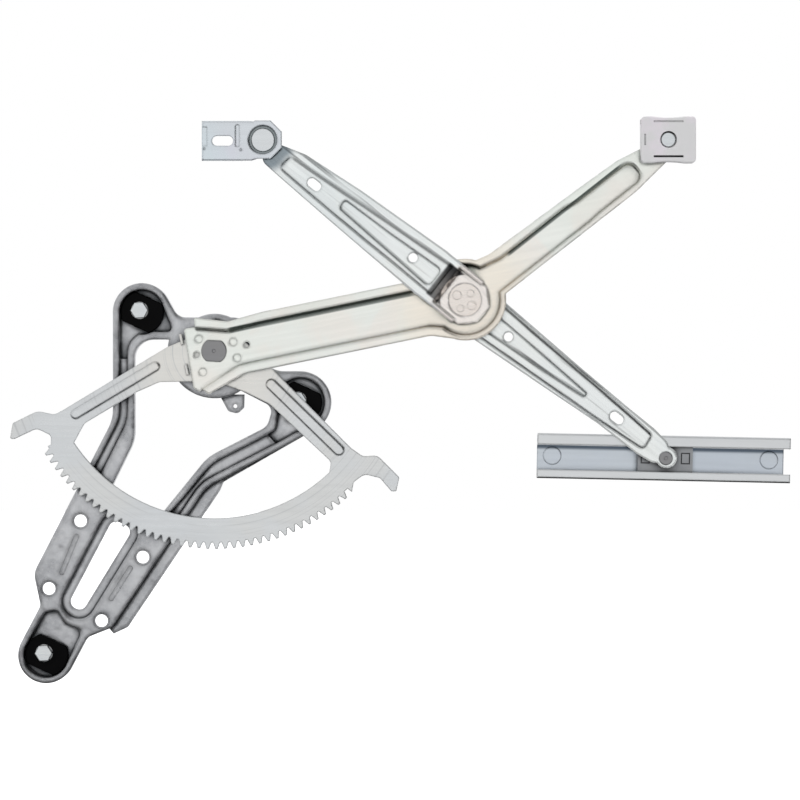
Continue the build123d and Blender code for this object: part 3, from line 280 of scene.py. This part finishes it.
def rail_lips(net, colour):
    """Whiter lips, the unlit strip under the upper one and painted shade along the rail's lower edge."""
    lip_white, strip_blue = (0.76, 0.77, 0.77), (0.03, 0.055, 0.09)
    # heights above the line through the shoe's pin
    upper_lip, lower_lip, soft = 0.0068, -0.0088, 0.0003
    strip_start, strip_full, strip_top = 0.0034, 0.0056, 0.0067
    edge_full, edge_start = -0.0142, -0.0134
    above = net.from_axis(shoe_pin, rail_turn)[2]
    lips = above.ramp(upper_lip, upper_lip + soft)
    lips = lips.maximum(above.ramp(lower_lip - soft, lower_lip, 1.0, 0.0))
    strip = above.ramp(strip_start, strip_full) * above.ramp(strip_top, strip_top + soft, 1.0, 0.0)
    # painted shade along the rail's lower edge
    lower_edge_shade = above.ramp(edge_full, edge_start, 0.9, 0.0)
    colour = net.mix(lips * 0.8, colour, lip_white)
    colour = net.mix(strip * 0.85, colour, strip_blue)
    return net.mix(lower_edge_shade, colour, shade_black)


def galvanised():
    """Dark, mottled hot-dip sheet with a faint spangle, and painted shade deep in each corner."""
    grey, pale_grey, worn = (0.44, 0.45, 0.47), (0.64, 0.65, 0.67), (0.74, 0.74, 0.75)
    spangle, painted_shade = (0.20, 0.205, 0.21), (0.04, 0.045, 0.05)
    edge, press_depth, shade_reach = 0.0036, 0.0022, 0.008
    spangle_strength, patch_gloss, grain_gloss, least_rough = 0.12, 0.16, 0.12, 0.16

    made, net = material("base_zinc")
    place = net.place()
    patch = net.noise(place, scale=34, detail=5, roughness=0.62, distortion=0.8)
    grain = net.noise(place, scale=420, detail=4, roughness=0.65)
    fine = net.noise(place, scale=1500, detail=2)
    pressed = net.noise(place, scale=55, detail=2)

    colour = net.mix(patch.ramp(0.36, 0.64), grey, pale_grey)
    colour = net.mix(grain.ramp(0.45, 0.72, 0.0, 0.40), colour, worn)
    colour = net.mix(net.crystals(place, scale=260) * spangle_strength, colour, spangle)
    # painted shade: darker where the faces are sheltered, deep in a corner
    colour = net.mix(net.shelter(shade_reach).ramp(0.30, 0.82, 0.88, 0.0), colour, painted_shade)

    roughness = patch * patch_gloss + grain * grain_gloss + least_rough
    normal = net.bump(pressed, distance=press_depth, below=net.round_edges(edge))
    normal = net.bump(grain, distance=0.00010, strength=0.4, below=normal)
    normal = net.bump(fine, distance=0.00004, strength=0.30, below=normal)
    net.principled(Base_Color=colour, Metallic=1.0, Roughness=roughness, Normal=normal)
    return made


def rubber():
    """Black, dull rubber with a little dust."""
    black, dusty = (0.001, 0.001, 0.0012), (0.004, 0.004, 0.0045)
    made, net = material("rubber")
    place = net.place()
    dust = net.noise(place, scale=90, detail=4, roughness=0.6)
    fine = net.noise(place, scale=1400, detail=2)
    colour = net.mix(dust.ramp(0.4, 0.75, 0.0, 0.5), black, dusty)
    normal = net.bump(fine, distance=0.00003, strength=0.4)
    net.principled(Base_Color=colour, Roughness=dust * 0.25 + 0.30, Specular_IOR_Level=0.06, Normal=normal)
    return made


def nylon(name, base, shade, scatter, pin=None):
    """Moulded plastic with painted shade in its slits and hollows. Round the pin only the upper side of the
    recess is unlit.
    """
    corner_reach, recess_radius, recess_edge, recess_half = 0.005, 0.009, 0.010, 0.006
    made, net = material(name)
    place = net.place()
    clouds = net.noise(place, scale=70, detail=3)
    fine = net.noise(place, scale=1200, detail=2)
    # painted shade in the slits and hollows, where the faces are sheltered
    corner_shade = net.shelter(corner_reach).ramp(0.35, 0.90, 1.0, 0.0)
    if pin:
        out, up, _ = net.from_axis(pin, 90)
        upper_side = up.ramp(0.0, recess_half, 0.15, 1.0)
        corner_shade = corner_shade * out.ramp(recess_radius, recess_edge).maximum(upper_side)
    colour = net.mix(corner_shade, net.mix(clouds.ramp(0.4, 0.7), base, shade), shade_black)
    normal = net.bump(fine, distance=0.00003, strength=0.3)
    net.principled(Base_Color=colour, Roughness=clouds * 0.14 + 0.34, Normal=normal,
                   Subsurface_Weight=scatter, Subsurface_Radius=(1.0, 0.95, 0.9), Subsurface_Scale=0.003)
    return made


sector_zinc = zinc("sector_zinc", (0.73, 0.75, 0.76), (0.78, 0.78, 0.76), (0.67, 0.70, 0.73),
                   rough=0.30, edge=0.0012, rings=pivot,
                   stains_and_shadows=[(pivot, 0.030, 0.075, (0.83, 0.81, 0.76))])
arm_zinc = zinc("arm_zinc", (0.86, 0.88, 0.84), (0.92, 0.85, 0.79), (0.80, 0.87, 0.82),
                turn=inner_turn, rough=0.22, painted_shade=0.85, edge=0.0024, reach=0.011, wave=0.0006,
                stains_and_shadows=[(hub, 0.026, 0.060, (0.92, 0.84, 0.73))], detail=pocket_walls)
cross_finish = dict(base=(0.84, 0.87, 0.87), cloud_tint=(0.90, 0.92, 0.89),
                    broad_tint=(0.72, 0.78, 0.79), turn=cross_turn, rough=0.20, tint=0.4,
                    painted_shade=0.7, edge=0.0024, reach=0.009, wave=0.0022)
cross_arm_zinc = zinc("cross_arm_zinc", **cross_finish)
hub_patch = (hub, 0.016, 0.024, (0.93, 0.85, 0.80))
cup_shadow = (bracket_pin, 0.013, 0.021, (0.07, 0.12, 0.16))
fork_arm_zinc = zinc("fork_arm_zinc", stains_and_shadows=[hub_patch, cup_shadow], detail=joggle_gap, **cross_finish)
bracket_zinc = zinc("bracket_zinc", (0.72, 0.76, 0.80), (0.82, 0.74, 0.87), (0.68, 0.79, 0.84),
                    painted_shade=0.8, edge=0.0014, reach=0.009)
rail_zinc = zinc("rail_zinc", (0.60, 0.65, 0.71), (0.66, 0.71, 0.75), (0.54, 0.60, 0.68),
                 turn=rail_turn, rough=0.30, tint=0.4, painted_shade=0.8, edge=0.0014, detail=rail_lips)
hub_zinc = zinc("hub_zinc", (0.88, 0.82, 0.77), (0.92, 0.81, 0.75), (0.80, 0.78, 0.74), painted_shade=0.85)
plain_steel = zinc("plain_steel", (0.54, 0.55, 0.56), (0.60, 0.58, 0.56), (0.46, 0.47, 0.49),
                   rough=0.30, tint=0.4)
dark_steel = zinc("dark_steel", (0.30, 0.30, 0.31), (0.34, 0.33, 0.32), (0.25, 0.26, 0.27),
                  rough=0.34, tint=0.4)
pale_steel = zinc("pale_steel", (0.74, 0.77, 0.79), (0.80, 0.80, 0.78), (0.66, 0.71, 0.74), tint=0.4)
base_zinc = galvanised()
black_rubber = rubber()
white_nylon = nylon("white_nylon", (0.69, 0.69, 0.69), (0.75, 0.71, 0.75), scatter=0.10, pin=slider_pin)
grey_nylon = nylon("grey_nylon", (0.30, 0.31, 0.32), (0.25, 0.26, 0.27), scatter=0.0)

# a node that isn't named here is plain steel
dress = {
    "base_plate": base_zinc,
    "sector_gear": sector_zinc,
    "lift_arm": arm_zinc,
    "equaliser_arm_upper": fork_arm_zinc,
    "equaliser_arm_lower": cross_arm_zinc,
    "glass_bracket": bracket_zinc,
    "guide_rail": rail_zinc,
    "rail_stud_left": rail_zinc,
    "rail_stud_right": rail_zinc,
    "centre_hub": hub_zinc,
    "centre_rivets": hub_zinc,
    "pivot_shaft": dark_steel,
    "shoe_pin": dark_steel,
    "glass_slider_pin": pale_steel,
    "bracket_rivet": pale_steel,
    "mounting_bolt_upper": pale_steel,
    "mounting_bolt_right": pale_steel,
    "mounting_bolt_foot": pale_steel,
    "glass_slider": white_nylon,
    "rail_shoe": grey_nylon,
    "mount_bush_upper": black_rubber,
    "mount_bush_right": black_rubber,
    "mount_bush_foot": black_rubber,
}
for name, thing in nodes.items():
    thing.data.materials.clear()
    thing.data.materials.append(dress.get(name, plain_steel))


# ------------------------------------------------------------------ stage
def floor_paint():
    """White where it is seen. Metal mirrors it lit behind the object and far in front of it,
    and dim round it."""
    matt_white, mirrored_grey, glow_strength = (0.86, 0.86, 0.86), (0.10, 0.10, 0.10), 0.92
    made, net = material("floor_paint")
    seen, mirrored = net.rays()
    depth = net.parts(net.coordinates())[1]
    lit = depth.ramp(0.15, 0.9).maximum(depth.ramp(-0.75, -0.35, 0.95, 0.0))
    strength = seen.maximum(mirrored * lit) * glow_strength
    matt = net.read("BSDF", "ShaderNodeBsdfDiffuse", Color=net.mix(mirrored, matt_white, mirrored_grey))
    glow = net.read("Emission", "ShaderNodeEmission", Color=(1, 1, 1), Strength=strength)
    net.node("ShaderNodeOutputMaterial", Surface=net.read("Shader", "ShaderNodeAddShader", matt, glow))
    return made


floor_z, floor_half = -0.36, 6
corner_signs = ((-1, -1), (1, -1), (1, 1), (-1, 1))
floor_corners = [(x * floor_half, y * floor_half, floor_z) for x, y in corner_signs]
floor_mesh = bpy.data.meshes.new("floor")
floor_mesh.from_pydata(floor_corners, [], [(0, 1, 2, 3)])
floor_mesh.materials.append(floor_paint())
floor = bpy.data.objects.new("floor", floor_mesh)
scene.collection.objects.link(floor)


# ------------------------------------------------------------------ light
def studio():
    """White where it is seen, and an even light on matt faces. Metal mirrors a white backdrop
    behind, a soft screen in front and between them a room that is light at its upper left
    and dark at its lower right."""
    white, even_grey = (1.0, 1.0, 1.0), (0.55, 0.55, 0.56)
    world = bpy.data.worlds.new("studio")
    world.use_nodes = True
    net = Net(world.node_tree)
    seen, mirrored = net.rays()
    across, away, height = net.parts(net.coordinates("Generated"))
    screen = away.ramp(-0.997, -0.87, 0.92, 0.0) * (height * 0.9 + 1)
    backdrop = away.ramp(0.35, 0.65)
    room = ((height - across) * 0.7).ramp(-0.15, 0.75, 0.01, 0.85)
    reflection = screen.maximum(backdrop).maximum(room)
    colour = net.mix(seen, net.mix(mirrored, even_grey, white), white)
    strength = seen.maximum(mirrored * reflection + (1 - mirrored))
    sky = net.read("Background", "ShaderNodeBackground", Color=colour, Strength=strength)
    net.node("ShaderNodeOutputWorld", Surface=sky)
    return world


def lamp(name, place, size, power):
    """A soft lamp that points at the middle of the object and isn't mirrored in it."""
    middle = Vector((0.13, 0.0, -0.05))
    data = bpy.data.lights.new(name, "AREA")
    data.shape, data.energy = "RECTANGLE", power
    data.size, data.size_y = size
    thing = bpy.data.objects.new(name, data)
    thing.location = place
    thing.rotation_euler = (middle - Vector(place)).to_track_quat("-Z", "Y").to_euler()
    thing.visible_glossy = False
    scene.collection.objects.link(thing)


scene.world = studio()
lamp("key", (-0.9, -1.4, 1.5), size=(1.2, 0.9), power=12)
lamp("fill", (1.5, -1.5, 0.3), size=(1.2, 1.2), power=6)
lamp("top", (0.2, -0.1, 1.5), size=(1.6, 0.5), power=6)


# ------------------------------------------------------------------ camera
# straight from the front, with a long lens
camera_data = bpy.data.cameras.new("camera")
camera_data.sensor_width = 36.0
camera_data.lens = 131.6
camera_data.clip_start, camera_data.clip_end = 0.01, 50
camera = bpy.data.objects.new("camera", camera_data)
camera.location = (0.1688, -1.904, -0.0581)
camera.rotation_euler = (math.radians(90), 0, 0)
scene.collection.objects.link(camera)
scene.camera = camera
scene.view_settings.view_transform = "Standard"
